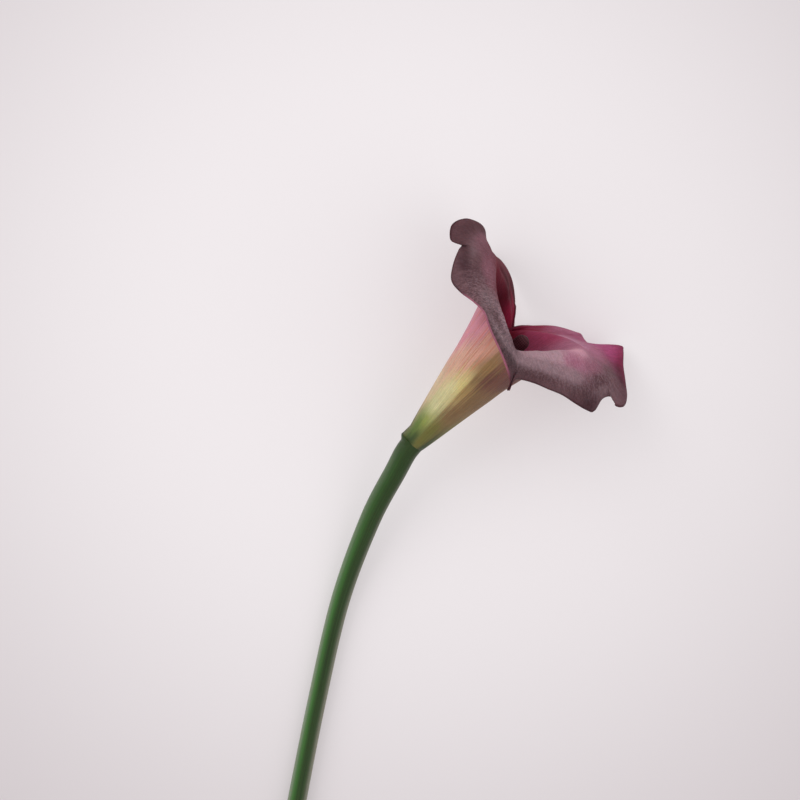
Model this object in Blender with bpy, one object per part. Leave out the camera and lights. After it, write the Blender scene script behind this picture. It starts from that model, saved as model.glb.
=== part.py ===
"""A cut calla lily lying on a table: its stem, its rolled spathe and its spadix.

Metres, +Z up. The table is z = 0, the stem runs along Y with the bloom at +Y, and the origin is
the bottom centre of the whole flower's box.
"""

import math

import bmesh
import bpy
from mathutils import Vector

# The bloom: the centre of the tube's mouth, and the way that the mouth faces.
MOUTH_CENTRE = Vector((0.0173, 0.0894, 0.0337))
FACING_AZIMUTH = math.radians(43)  # from +Y towards +X
FACING_ELEVATION = math.radians(14)

# The tube, a slender cone on a slightly bent axis. Heights run along the axis from the mouth centre.
TUBE_LENGTH = 0.0482
TUBE_BEND = Vector((0.0007, -0.0007, 0.0007))  # how far the base lies off the mouth's straight axis
BASE_RADIUS = 0.0046
MOUTH_RADIUS = 0.0143
LAYER_SHIFT = 0.0013  # the outer edge at the back lies this far outside the cone, clear of the inner one
LAYER_START = math.radians(110)  # the turn at which it begins to lift

# The spathe's sheet.
THROAT_THICKNESS = 0.0010
MARGIN_THICKNESS = 0.0007
TUBE_RINGS = 5
COLUMNS_PER_STATION = 2
ROWS_PER_LIMB_SPAN = 3
CALM_SPREAD = 4  # the margin's ripples fade inwards to its average over this many stations each way
LIMB_SPANS = ((0.36, 1.0), (0.70, 0.75))  # (share of the way from lip to margin, how calm it is there)

# The lip, where the throat turns over into the limb: turn in degrees round the axis from the near side,
# reach from the axis, height above the mouth centre, and how far the limb beyond it is crowned.
LIP = (
    (-215, 0.0160, 0.0010, 0.0000),
    (-180, 0.0175, 0.0100, 0.0000),
    (-150, 0.0210, 0.0190, 0.0000),
    (-125, 0.0240, 0.0260, 0.0010),
    (-108, 0.0255, 0.0300, 0.0035),
    (-90, 0.0225, 0.0285, 0.0035),
    (-60, 0.0186, 0.0230, 0.0020),
    (-25, 0.0176, 0.0193, 0.0015),
    (0, 0.0176, 0.0160, 0.0018),
    (15, 0.0182, 0.0138, 0.0025),
    (35, 0.0195, 0.0190, 0.0030),
    (65, 0.0200, 0.0245, 0.0030),
    (95, 0.0235, 0.0275, 0.0030),
    (120, 0.0235, 0.0260, 0.0020),
    (150, 0.0200, 0.0205, 0.0010),
    (180, 0.0168, 0.0120, 0.0000),
    (215, 0.0142, 0.0010, 0.0000),
)

# The margin, from the edge that lies outside at the back, round by the tail, to the edge inside it:
# the turn at which a vein leaves the throat, then the turn, reach and height at which it meets the margin.
MARGIN = (
    (-212, -212, 0.0172, 0.0040),
    (-196, -196, 0.0188, 0.0090),
    (-182, -181, 0.0203, 0.0145),
    (-171, -170, 0.0262, 0.0192),
    (-161, -163, 0.0355, 0.0233),
    (-150, -156, 0.0432, 0.0270),
    (-140, -148, 0.0492, 0.0290),
    (-130, -138, 0.0500, 0.0280),
    (-122, -128, 0.0475, 0.0315),
    (-114, -119, 0.0437, 0.0368),
    (-108, -110, 0.0448, 0.0380),
    (-102, -99, 0.0485, 0.0368),
    (-97, -91, 0.0492, 0.0320),
    (-92, -88, 0.0455, 0.0275),
    (-88, -97, 0.0410, 0.0283),
    (-82, -88, 0.0403, 0.0267),
    (-75, -78, 0.0388, 0.0220),
    (-65, -67, 0.0372, 0.0178),
    (-53, -54, 0.0350, 0.0172),
    (-40, -40, 0.0334, 0.0187),
    (-27, -26, 0.0346, 0.0198),
    (-14, -14, 0.0388, 0.0184),
    (-3, -1, 0.0455, 0.0161),
    (5, 7, 0.0520, 0.0138),
    (10, 11, 0.0570, 0.0110),
    (13, 13, 0.0640, 0.0075),
    (17, 14, 0.0550, 0.0115),
    (23, 18, 0.0482, 0.0133),
    (31, 27, 0.0433, 0.0145),
    (41, 39, 0.0406, 0.0151),
    (52, 52, 0.0399, 0.0158),
    (64, 65, 0.0420, 0.0156),
    (75, 76, 0.0454, 0.0154),
    (82, 82, 0.0474, 0.0168),
    (88, 90, 0.0468, 0.0215),
    (93, 94, 0.0483, 0.0240),
    (98, 91, 0.0532, 0.0237),
    (103, 95, 0.0558, 0.0252),
    (109, 102, 0.0551, 0.0278),
    (116, 111, 0.0530, 0.0310),
    (123, 121, 0.0521, 0.0342),
    (130, 130, 0.0535, 0.0376),
    (137, 137, 0.0525, 0.0355),
    (144, 142, 0.0505, 0.0310),
    (151, 148, 0.0484, 0.0286),
    (158, 154, 0.0462, 0.0280),
    (165, 162, 0.0385, 0.0238),
    (173, 171, 0.0290, 0.0192),
    (182, 181, 0.0200, 0.0152),
    (196, 194, 0.0162, 0.0095),
    (212, 210, 0.0148, 0.0040),
)

# The stem: points along its middle from the cut to the collar, and its radius there.
STEM_ROUTE = (
    (Vector((-0.0734, -0.1492, 0.0043)), 0.0043),
    (Vector((-0.0695, -0.1272, 0.0042)), 0.0042),
    (Vector((-0.0651, -0.1032, 0.0041)), 0.0041),
    (Vector((-0.0563, -0.0592, 0.0041)), 0.0040),
    (Vector((-0.0460, -0.0152, 0.0051)), 0.0041),
    (Vector((-0.0328, 0.0206, 0.0117)), 0.0045),
    (Vector((-0.0214, 0.0426, 0.0186)), 0.0047),
)
# The stem's top: heights along the tube's axis from the spathe's foot, and radii. The neck is inside it.
STEM_TOP = (
    (-0.0048, 0.0048),
    (-0.0015, 0.0048),
    (-0.0007, 0.0045),
    (-0.0002, 0.0037),
    (0.0017, 0.0037),
    (0.0031, 0.0026),
)
STEM_SIDES = 16
STEM_STEPS = 5  # rings between two points of the route
CUT_SLANT = math.radians(18)

# The spadix: it stands on the stem's top and leans to the mouth's right.
SPADIX_RADIUS = 0.0030
SPADIX_FOOT_SHARE = 0.8  # it is this much slimmer at its foot
SPADIX_TIP = Vector((0.0313, 0.0970, 0.0397))
SPADIX_STRAIGHT = 0.0200  # how far it would run on straight before it leans
SPADIX_SIDES = 14
SPADIX_STEPS = 14
SPADIX_CAP = (30, 55, 75)  # degrees of the rings that round its tip
SEAT_GAP = 0.0003


def facing_axes():
    """The bloom's own axes: along its tube, to its right, and up towards the near side."""
    across = math.cos(FACING_ELEVATION)
    along = Vector((math.sin(FACING_AZIMUTH) * across, math.cos(FACING_AZIMUTH) * across,
                    math.sin(FACING_ELEVATION)))
    right = Vector((math.cos(FACING_AZIMUTH), -math.sin(FACING_AZIMUTH), 0))
    return along, right, right.cross(along)


ALONG, RIGHT, NEAR = facing_axes()


def tube_axis(height):
    """The point of the tube's axis at this height: straight above the mouth centre, bent below it."""
    below = min(height, 0) / TUBE_LENGTH
    return MOUTH_CENTRE + ALONG * height + TUBE_BEND * below * below


def bloom_point(turn, reach, height):
    return tube_axis(height) + reach * (math.sin(turn) * RIGHT + math.cos(turn) * NEAR)


def smooth_step(value):
    value = min(max(value, 0), 1)
    return value * value * (3 - 2 * value)


def layer_offset(turn):
    """The left edge passes outside the right one at the back of the tube."""
    return LAYER_SHIFT * smooth_step((-turn - LAYER_START) / (math.pi - LAYER_START))


def tube_radius(height):
    cone = MOUTH_RADIUS + (MOUTH_RADIUS - BASE_RADIUS) * height / TUBE_LENGTH
    return max(cone, BASE_RADIUS)


def catmull_rom(rows, place):
    """The row of numbers at this place, 0 at the first row, on a smooth curve through all the rows."""
    first = min(int(place), len(rows) - 2)
    part = place - first
    before, start, end, after = (rows[min(max(first + k, 0), len(rows) - 1)] for k in (-1, 0, 1, 2))
    weights = (
        (-part + 2 * part**2 - part**3) / 2,
        (2 - 5 * part**2 + 3 * part**3) / 2,
        (part + 4 * part**2 - 3 * part**3) / 2,
        (part**3 - part**2) / 2,
    )
    return [sum(w * value for w, value in zip(weights, values))
            for values in zip(before, start, end, after)]


def lip_at(turn):
    """Reach, height and crown of the lip at this turn."""
    degrees = math.degrees(turn)
    for index in range(len(LIP) - 1):
        if degrees <= LIP[index + 1][0] or index == len(LIP) - 2:
            span = LIP[index + 1][0] - LIP[index][0]
            return catmull_rom(LIP, index + (degrees - LIP[index][0]) / span)[1:]


def margin_at(place):
    """Vein turn, margin turn, reach and height at this place along the margin."""
    vein_turn, turn, reach, height = catmull_rom(MARGIN, place)
    return math.radians(vein_turn), math.radians(turn), reach, height


def calm_margin_at(place):
    """The margin without its ripples: an average over the stations near this place."""
    total = 0
    sums = [0, 0, 0, 0]
    for offset in range(-CALM_SPREAD, CALM_SPREAD + 1):
        weight = CALM_SPREAD + 1 - abs(offset)
        near = margin_at(min(max(place + offset, 0), len(MARGIN) - 1))
        sums = [value + weight * other for value, other in zip(sums, near)]
        total += weight
    return [value / total for value in sums]


def vein(place):
    """One vein of the spathe, from its foot up the tube, over the lip and across the limb to the margin."""
    vein_turn, edge_turn, edge_reach, edge_height = margin_at(place)
    calm_vein_turn, calm_turn, calm_reach, calm_height = calm_margin_at(place)
    calm_turn += vein_turn - calm_vein_turn
    lip_reach, lip_height, crown = lip_at(vein_turn)
    points = []
    for ring in range(TUBE_RINGS):
        height = -TUBE_LENGTH * (1 - ring / (TUBE_RINGS - 1))
        points.append(bloom_point(vein_turn, tube_radius(height) + layer_offset(vein_turn), height))
    points.append(bloom_point(vein_turn, lip_reach, lip_height))
    for share, calm in LIMB_SPANS:
        turn = edge_turn + (calm_turn - edge_turn) * calm
        reach = edge_reach + (calm_reach - edge_reach) * calm
        height = edge_height + (calm_height - edge_height) * calm
        points.append(bloom_point(
            vein_turn + (turn - vein_turn) * share,
            lip_reach + (reach - lip_reach) * share,
            lip_height + (height - lip_height) * share + crown * 4 * share * (1 - share),
        ))
    points.append(bloom_point(edge_turn, edge_reach, edge_height))
    return points


def material(name, colour, roughness):
    made = bpy.data.materials.new(name)
    made.use_nodes = True
    shader = made.node_tree.nodes["Principled BSDF"]
    shader.inputs["Base Color"].default_value = (*colour, 1)
    shader.inputs["Roughness"].default_value = roughness
    shader.inputs["Metallic"].default_value = 0
    return made


def add_object(name, mesh_maker, finish):
    mesh = bpy.data.meshes.new(name)
    mesh_maker.to_mesh(mesh)
    mesh_maker.free()
    mesh.materials.append(finish)
    mesh.shade_smooth()
    made = bpy.data.objects.new(name, mesh)
    bpy.context.scene.collection.objects.link(made)
    return made


def spathe():
    """The rolled leaf: a sheet of veins side by side, thickened a little less towards the margin."""
    places = [step / COLUMNS_PER_STATION for step in range((len(MARGIN) - 1) * COLUMNS_PER_STATION + 1)]
    rows = list(range(TUBE_RINGS))
    spans_past_mouth = len(LIMB_SPANS) + 2
    for step in range(1, spans_past_mouth * ROWS_PER_LIMB_SPAN + 1):
        rows.append(TUBE_RINGS - 1 + step / ROWS_PER_LIMB_SPAN)
    maker = bmesh.new()
    grid = []
    for place in places:
        points = vein(place)
        grid.append([maker.verts.new(catmull_rom(points, row)) for row in rows])
    for left, right in zip(grid, grid[1:]):
        for low in range(len(rows) - 1):
            maker.faces.new((left[low], right[low], right[low + 1], left[low + 1]))
    made = add_object("spathe", maker, material("spathe_burgundy", (0.16, 0.02, 0.05), 0.55))
    return thickened(made, len(rows))


def thickened(sheet, rows):
    """The sheet with its thickness, even on both sides, from THROAT_THICKNESS down to MARGIN_THICKNESS."""
    weights = sheet.vertex_groups.new(name="thickness")
    thin = MARGIN_THICKNESS / THROAT_THICKNESS
    for vertex in sheet.data.vertices:
        share = (vertex.index % rows) / (rows - 1)
        weights.add([vertex.index], 1 - (1 - thin) * share, "REPLACE")
    solid = sheet.modifiers.new("Thickness", "SOLIDIFY")
    solid.thickness = THROAT_THICKNESS
    solid.offset = 0
    solid.vertex_group = weights.name
    return sheet


def loft(rings):
    """A closed body through rings of points, each ring a list of the same length, with flat ends."""
    maker = bmesh.new()
    loops = [[maker.verts.new(point) for point in ring] for ring in rings]
    for low, high in zip(loops, loops[1:]):
        for index in range(len(low)):
            after = (index + 1) % len(low)
            maker.faces.new((low[index], low[after], high[after], high[index]))
    maker.faces.new(reversed(loops[0]))
    maker.faces.new(loops[-1])
    return maker


def ring_round(centre, direction, radius, sides):
    """A circle of points square to the direction, its first point towards +X."""
    up = direction.cross(Vector((1, 0, 0))).normalized()
    side = up.cross(direction).normalized()
    turns = [2 * math.pi * index / sides for index in range(sides)]
    return [centre + radius * (math.cos(turn) * side + math.sin(turn) * up) for turn in turns]


def foot_direction():
    """The way that the tube's axis runs at the spathe's foot."""
    return (ALONG - TUBE_BEND * 2 / TUBE_LENGTH).normalized()


def stem_rows():
    """Points along the stem's middle, each with the radius there, from the cut to the top of the neck."""
    foot = tube_axis(-TUBE_LENGTH)
    top = [(*(foot + foot_direction() * height), radius) for height, radius in STEM_TOP]
    route = [(*point, radius) for point, radius in STEM_ROUTE] + top[:1]
    steps = (len(route) - 1) * STEM_STEPS
    return [catmull_rom(route, step / STEM_STEPS) for step in range(steps + 1)] + top[1:]


def stem():
    """The stalk: a round bar along its route, slanted at the cut, necked where the spathe encloses it."""
    rows = stem_rows()
    centres = [Vector(row[:3]) for row in rows]
    rings = []
    for index, centre in enumerate(centres):
        after = centres[min(index + 1, len(centres) - 1)]
        before = centres[max(index - 1, 0)]
        rings.append(ring_round(centre, (after - before).normalized(), rows[index][3], STEM_SIDES))
    way = (centres[1] - centres[0]).normalized()
    rings[0] = [point + way * (point - centres[0]).x * math.tan(CUT_SLANT) for point in rings[0]]
    return add_object("stem", loft(rings), material("stem_green", (0.05, 0.11, 0.03), 0.5))


def spadix():
    """The flower spike: a slender finger with a round tip, seated just above the stem's top."""
    start = tube_axis(-TUBE_LENGTH) + foot_direction() * (STEM_TOP[-1][0] + SEAT_GAP)
    handle = start + foot_direction() * SPADIX_STRAIGHT
    rings = []
    for step in range(SPADIX_STEPS + 1):
        part = step / SPADIX_STEPS
        centre = start * (1 - part) ** 2 + handle * 2 * part * (1 - part) + SPADIX_TIP * part**2
        way = ((handle - start) * (1 - part) + (SPADIX_TIP - handle) * part).normalized()
        swell = SPADIX_FOOT_SHARE + (1 - SPADIX_FOOT_SHARE) * smooth_step(part * 3)
        rings.append(ring_round(centre, way, SPADIX_RADIUS * swell, SPADIX_SIDES))
    for degrees in SPADIX_CAP:
        lean = math.radians(degrees)
        centre = SPADIX_TIP + way * SPADIX_RADIUS * math.sin(lean)
        rings.append(ring_round(centre, way, SPADIX_RADIUS * math.cos(lean), SPADIX_SIDES))
    return add_object("spadix", loft(rings), material("spadix_maroon", (0.07, 0.02, 0.03), 0.6))


def main():
    for old in list(bpy.data.objects):
        bpy.data.objects.remove(old)
    stem()
    spathe()
    spadix()


main()
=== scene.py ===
"""The looks of a cut calla lily that lies on a pale table: spathe, spadix and stem as fine meshes."""

import math

import bpy
import numpy as np
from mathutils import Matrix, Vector


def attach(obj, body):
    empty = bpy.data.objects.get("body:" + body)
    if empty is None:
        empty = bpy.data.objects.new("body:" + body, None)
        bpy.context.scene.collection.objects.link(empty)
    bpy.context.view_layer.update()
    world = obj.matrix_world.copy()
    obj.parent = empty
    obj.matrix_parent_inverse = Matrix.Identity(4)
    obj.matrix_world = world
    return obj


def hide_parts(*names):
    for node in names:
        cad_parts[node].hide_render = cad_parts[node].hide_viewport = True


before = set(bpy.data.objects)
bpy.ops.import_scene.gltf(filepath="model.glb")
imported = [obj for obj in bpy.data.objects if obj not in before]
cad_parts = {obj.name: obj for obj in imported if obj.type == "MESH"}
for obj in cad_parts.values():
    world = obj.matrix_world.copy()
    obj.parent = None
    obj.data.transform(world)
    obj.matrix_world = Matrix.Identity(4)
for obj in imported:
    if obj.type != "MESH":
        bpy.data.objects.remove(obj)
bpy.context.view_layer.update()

# The bloom's own frame, as in the model: the centre of the tube's mouth and the way that it faces.
MOUTH_CENTRE = np.array((0.0173, 0.0894, 0.0337))
FACING_AZIMUTH = math.radians(43)
FACING_ELEVATION = math.radians(14)
TUBE_LENGTH = 0.0482
TUBE_BEND = np.array((0.0007, -0.0007, 0.0007))
FOOT_RADIUS = 0.0046
MOUTH_RADIUS = 0.0143

# The lip, where the throat turns over into the limb: turn in degrees round the axis from the near side,
# reach from the axis, height above the mouth centre, and how far the limb beyond it is crowned.
LIP = (
    (-215, 0.0160, 0.0010, 0.0000),
    (-180, 0.0175, 0.0100, 0.0000),
    (-150, 0.0210, 0.0190, 0.0024),
    (-138, 0.0226, 0.0226, 0.0030),
    (-125, 0.0240, 0.0260, 0.0014),
    (-108, 0.0253, 0.0294, 0.0030),
    (-90, 0.0225, 0.0285, 0.0035),
    (-60, 0.0184, 0.0236, 0.0020),
    (-25, 0.0176, 0.0198, 0.0015),
    (0, 0.0176, 0.0160, 0.0018),
    (15, 0.0182, 0.0138, 0.0025),
    (35, 0.0195, 0.0190, 0.0030),
    (65, 0.0200, 0.0245, 0.0030),
    (95, 0.0235, 0.0275, 0.0030),
    (120, 0.0235, 0.0260, 0.0013),
    (150, 0.0200, 0.0205, -0.0006),
    (180, 0.0168, 0.0120, 0.0000),
    (215, 0.0142, 0.0010, 0.0000),
)

# The margin, from the edge that lies outside at the back, round by the tail, to the edge inside it:
# the turn at which a vein leaves the throat, then the turn, reach and height at which it meets the margin.
MARGIN = (
    (-212, -212, 0.0172, 0.0040),
    (-196, -196, 0.0188, 0.0090),
    (-182, -177.3, 0.0203, 0.0131),
    (-171, -168.4, 0.0262, 0.0182),
    (-161, -162.6, 0.0355, 0.0231),
    (-150, -156, 0.0432, 0.0273),
    (-140, -148, 0.0492, 0.0290),
    (-130, -138, 0.0500, 0.0280),
    (-122, -128, 0.0475, 0.0315),
    (-114, -119, 0.0440, 0.0365),
    (-108, -110, 0.0448, 0.0385),
    (-102, -99, 0.0485, 0.0368),
    (-97, -91, 0.0497, 0.0320),
    (-92, -88, 0.0455, 0.0273),
    (-88, -93, 0.0415, 0.0282),
    (-82, -88, 0.0408, 0.0267),
    (-75, -78, 0.0391, 0.0220),
    (-65, -67, 0.0372, 0.0178),
    (-53, -54, 0.0350, 0.0178),
    (-40, -40, 0.0334, 0.0195),
    (-27, -26, 0.0346, 0.0203),
    (-14, -14, 0.0388, 0.0184),
    (-3, -1, 0.0455, 0.0161),
    (5, 7, 0.0520, 0.0138),
    (10, 11.4, 0.0560, 0.0114),
    (13, 12.2, 0.0594, 0.0086),
    (17, 12.2, 0.0538, 0.0122),
    (23, 18, 0.0470, 0.0134),
    (31, 27, 0.0429, 0.0146),
    (41, 39, 0.0404, 0.0153),
    (52, 52, 0.0398, 0.0161),
    (64, 65, 0.0420, 0.0160),
    (75, 76, 0.0452, 0.0160),
    (82, 82, 0.0472, 0.0168),
    (88, 90, 0.0462, 0.0215),
    (93, 94, 0.0483, 0.0241),
    (98, 90, 0.0518, 0.0237),
    (103, 95, 0.0553, 0.0252),
    (109, 102, 0.0551, 0.0278),
    (116, 111, 0.0530, 0.0310),
    (123, 121, 0.0521, 0.0342),
    (130, 130, 0.0535, 0.0376),
    (133, 133.5, 0.0543, 0.0385),
    (137, 137, 0.0537, 0.0362),
    (144, 142.6, 0.0507, 0.0294),
    (151, 148, 0.0490, 0.0286),
    (154, 151, 0.0467, 0.0295),
    (158, 154, 0.0462, 0.0284),
    (165, 162, 0.0385, 0.0248),
    (173, 171, 0.0290, 0.0194),
    (182, 181, 0.0200, 0.0152),
    (196, 194, 0.0162, 0.0095),
    (212, 210, 0.0148, 0.0040),
)

# The sheet between them.
TUBE_RINGS = 5
CALM_SPREAD = 4  # the margin's ripples fade inwards to its average over this many stations each way
LIMB_SPANS = ((0.36, 1.0), (0.70, 0.75))  # (share of the way from lip to margin, how calm it is there)
COLUMN_TURN = 0.5  # columns of the mesh are at most this many degrees apart at the throat
COLUMN_WIDTH = 0.0007  # and this far apart at the margin
TUBE_ROWS = 17
LIMB_ROWS = 38
THICKNESS = ((0.0, 0.0006), (0.08, 0.0010), (0.5, 0.0011), (0.85, 0.0009), (1.0, 0.0007))
FOOT_RIM = 0.1  # the rim takes the outside's colour below this share of the way up
LAYER_GAP = 0.00015  # between the two layers where the edges overlap
LAYER_START = 110  # the turn at which the outer edge begins to lift
LAYER_RISE = 0.3  # the share of the way up whose thickness sets that lift
TUBE_VEINS = (4.1, 0.00007)  # degrees between two raised veins at the throat, and their height
LIMB_VEINS = (2.3, 0.00003)
MARGIN_ROLL = 0.0005  # how far the margin curls back
ROLL_START = 0.95  # the share of the way up at which it begins
TABLE_CLEARANCE = 0.00015
TAIL_TURN = 13  # the vein that ends in the tail, whose edges are thinner over this many degrees each way
TAIL_SPREAD = 4
TAIL_THINNING = 0.65

# The stem and the spadix, as in the model.
STEM_ROUTE = (
    (-0.0734, -0.1492, 0.0043, 0.0043),
    (-0.0695, -0.1272, 0.0042, 0.0042),
    (-0.0651, -0.1032, 0.0041, 0.0041),
    (-0.0563, -0.0592, 0.0041, 0.0040),
    (-0.0460, -0.0152, 0.0051, 0.0041),
    (-0.0328, 0.0206, 0.0117, 0.0045),
    (-0.0214, 0.0426, 0.0186, 0.0047),
)
STEM_TOP = (
    (-0.0048, 0.0048),
    (-0.0015, 0.00485),
    (-0.0002, 0.0048),
    (0.0000, 0.0043),
    (0.0017, 0.0038),
    (0.0031, 0.0030),
)
TOP_STEPS = 60  # rings along the stem's swollen top
NUB_HEIGHT = 0.0016  # the scar that swells across the joint of stem and spathe, on the left
NUB_SPAN = ((-0.0026, -0.0002), (0.0008, 0.0053))  # along the stem from the joint: where it rises and falls
NUB_TURN = -90
NUB_TOP = -0.0001  # where it ends on the stem, whose next ring goes into the spathe
STEM_SIDES = 64
STEM_STEPS = 36  # rings from one station of the route to the next
RIBS = (13, 0.00004)  # how many low ribs run along it, and their height
OVAL = 0.00006  # how much wider than high it is
CUT_SLANT = math.radians(18)
CUT_BULGE = 0.00012
CUT_RINGS = (0.97, 0.9, 0.75, 0.6, 0.45, 0.3, 0.15)  # the cut face's loops, as shares of its radius
SPADIX_RADIUS = 0.0032
SPADIX_TIP = np.array((0.0313, 0.0970, 0.0397))
SPADIX_STRAIGHT = 0.0200
SPADIX_GAP = 0.0001  # between its foot and the stem's top
SPADIX_FOOT = 0.85  # its thickness at the foot, as a share of the full one
SPADIX_SWELL = 1 / 3  # the share of its length over which it reaches the full one
SPADIX_SIDES = 120
SPADIX_STEPS = 300
SPADIX_CAP_STEPS = 25
SPADIX_CAP_END = 88  # degrees round its rounded end at which the last ring stands
FLORET_PITCH = 0.00095  # from one tiny flower of the spadix to the next along it
FLORET_RELIEF = 0.00010
FLORET_SLANT = 1.1  # how steep their spirals are

# The colours, as display values of 0 to 255.
COLOURS = {
    "throat yellow": (190, 178, 80),
    "throat amber": (196, 140, 58),
    "throat crimson": (128, 20, 38),
    "deep crimson": (104, 12, 30),
    "crimson": (132, 26, 54),
    "burgundy": (66, 6, 20),
    "wine": (104, 30, 46),
    "plum": (54, 26, 32),
    "dusk": (86, 58, 62),
    "velvet": (102, 74, 79),
    "mauve": (128, 85, 96),
    "grey mauve": (126, 101, 106),
    "silver": (144, 116, 123),
    "silver rose": (176, 142, 151),
    "rose": (166, 102, 126),
    "raspberry": (154, 60, 90),
    "magenta": (176, 82, 126),
    "dark magenta": (122, 28, 60),
    "pink": (186, 134, 156),
    "old rose": (142, 90, 108),
    "pale rose": (204, 150, 166),
    "edge pink": (178, 104, 128),
    "stalk green": (44, 62, 28),
    "leaf green": (90, 112, 46),
    "lime": (130, 138, 64),
    "olive": (104, 100, 44),
    "cream": (202, 194, 146),
    "straw": (200, 176, 126),
    "young yellow": (206, 192, 120),
    "pale peach": (200, 176, 144),
    "peach": (206, 166, 142),
    "petal pink": (204, 133, 151),
    "salmon": (204, 152, 134),
    "bronze": (142, 110, 66),
    "umber": (120, 92, 60),
    "russet": (98, 56, 50),
    "rim purple": (132, 66, 77),
    "back mauve": (126, 67, 83),
    "tube flush": (176, 92, 66),
    "painted sheen grey": (182, 158, 166),
    "stalk shade": (33, 53, 22),
    "stalk light": (47, 71, 31),
    "stalk lit green": (60, 112, 46),
    "rim light green": (124, 137, 114),
    "rim light grey": (128, 129, 112),
    "pith": (198, 206, 150),
    "pith ring": (118, 140, 72),
    "vessel": (120, 130, 70),
    "spike shade": (50, 16, 24),
    "spike top": (90, 36, 46),
    "spike foot": (170, 120, 60),
    "table middle": (242, 237, 239),
    "table edge": (206, 198, 201),
    "table grain": (200, 190, 194),
}

# Where the spathe's inside takes each colour: turn, share of the way up (0 foot, 0.5 mouth, 0.625 lip, 1
# margin) and colour.
# Besides the tissue's own crimson and maroon, these places paint light in: silver, silver rose, pale rose
# and grey mauve are painted sheen and highlight on the crest and the upturned limb; dusk, plum and velvet at
# the margins and lobes are painted shade; the crimson, magenta and pink at the back are partly the tissue's
# colour and partly a painted glow of light through the thin sheet.
INNER_TINTS = (
    (0, 0.05, "throat yellow"),
    (180, 0.05, "throat yellow"),
    (0, 0.25, "throat amber"),
    (180, 0.25, "throat amber"),
    (0, 0.42, "throat crimson"),
    (90, 0.42, "throat crimson"),
    (180, 0.42, "throat crimson"),
    (-90, 0.42, "deep crimson"),
    (-60, 0.58, "deep crimson"),
    (-98, 0.58, "deep crimson"),
    (-135, 0.58, "burgundy"),
    (-128, 0.67, "wine"),
    (180, 0.62, "deep crimson"),
    (-161, 0.65, "crimson"),
    (-167, 0.80, "crimson"),
    (175, 0.78, "crimson"),
    (176, 0.95, "crimson"),
    (-145, 0.66, "burgundy"),
    (-145, 0.76, "burgundy"),
    (-155, 0.90, "burgundy"),
    (-140, 0.92, "wine"),
    (-120, 0.78, "wine"),
    (-99, 0.92, "dusk"),
    (-100, 0.84, "mauve"),
    (-86, 0.87, "grey mauve"),
    (-76, 0.90, "plum"),
    (-77, 0.84, "dusk"),
    (-62, 0.94, "velvet"),
    (-79, 0.73, "mauve"),
    (-62, 0.80, "velvet"),
    (-44, 0.77, "grey mauve"),
    (-21, 0.77, "dusk"),
    (-18, 0.68, "silver"),
    (-4, 0.87, "grey mauve"),
    (7, 0.91, "plum"),
    (20, 0.92, "dusk"),
    (8, 0.70, "velvet"),
    (23, 0.80, "silver"),
    (25, 0.68, "silver rose"),
    (34, 0.92, "dusk"),
    (39, 0.81, "silver"),
    (48, 0.98, "velvet"),
    (50, 0.68, "silver rose"),
    (73, 0.73, "rose"),
    (87, 0.65, "pale rose"),
    (118, 0.66, "rose"),
    (62, 0.82, "silver"),
    (67, 0.94, "dusk"),
    (77, 0.95, "plum"),
    (91, 0.76, "old rose"),
    (90, 0.86, "dusk"),
    (107, 0.86, "velvet"),
    (93, 0.94, "grey mauve"),
    (101, 0.96, "velvet"),
    (115, 0.94, "plum"),
    (124, 0.95, "dark magenta"),
    (131, 0.92, "magenta"),
    (129, 0.81, "rose"),
    (138, 0.76, "pink"),
    (142, 0.65, "raspberry"),
    (159, 0.65, "raspberry"),
    (160, 0.97, "rose"),
)
OUTER_TINTS = (
    (-32, 0.00, "stalk green"),
    (60, 0.00, "stalk green"),
    (180, 0.00, "stalk green"),
    (-100, 0.02, "stalk green"),
    (-20, 0.035, "stalk green"),
    (-32, 0.08, "leaf green"),
    (-22, 0.13, "lime"),
    (17, 0.10, "olive"),
    (90, 0.12, "olive"),
    (180, 0.12, "lime"),
    (-24, 0.21, "cream"),
    (-70, 0.28, "pale peach"),
    (-16, 0.33, "cream"),
    (-13, 0.40, "straw"),
    (-6, 0.37, "young yellow"),
    (6, 0.36, "bronze"),
    (4, 0.50, "bronze"),
    (10, 0.43, "umber"),
    (24, 0.24, "umber"),
    (32, 0.33, "umber"),
    (24, 0.46, "russet"),
    (70, 0.40, "umber"),
    (60, 0.52, "russet"),
    (110, 0.30, "bronze"),
    (120, 0.50, "salmon"),
    (180, 0.30, "straw"),
    (180, 0.50, "salmon"),
    (-120, 0.30, "pale peach"),
    (-110, 0.50, "petal pink"),
    (-60, 0.44, "peach"),
    (-72, 0.54, "petal pink"),
    (-16, 0.55, "salmon"),
    (-28, 0.46, "salmon"),
    (-45, 0.48, "peach"),
    (-47, 0.56, "petal pink"),
    (-64, 0.50, "petal pink"),
    (-52, 0.60, "rim purple"),
    (-21, 0.61, "rim purple"),
    (40, 0.62, "rim purple"),
    (130, 0.62, "rim purple"),
    (-130, 0.62, "rim purple"),
    (0, 0.80, "back mauve"),
    (90, 0.80, "back mauve"),
    (180, 0.80, "back mauve"),
    (-90, 0.80, "back mauve"),
)
TINT_REACH = (25, 0.11)  # how far a tint carries, in degrees and in share of the way up
TINT_CORE = 0.18  # how broad its own place is, and how steeply it fades beyond
TINT_FADE = 2.2
STREAK_WANDER = 9  # degrees by which a tube's streak can stray into its neighbour's colour

# The view: straight down on the flower, 0.336 m wide at 0.760 m from the camera.
CAMERA_PLACE = (-0.0198, 0.0728, 0.8)
VIEW_ANGLE = 2 * math.atan(0.168 / 0.760)

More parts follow.
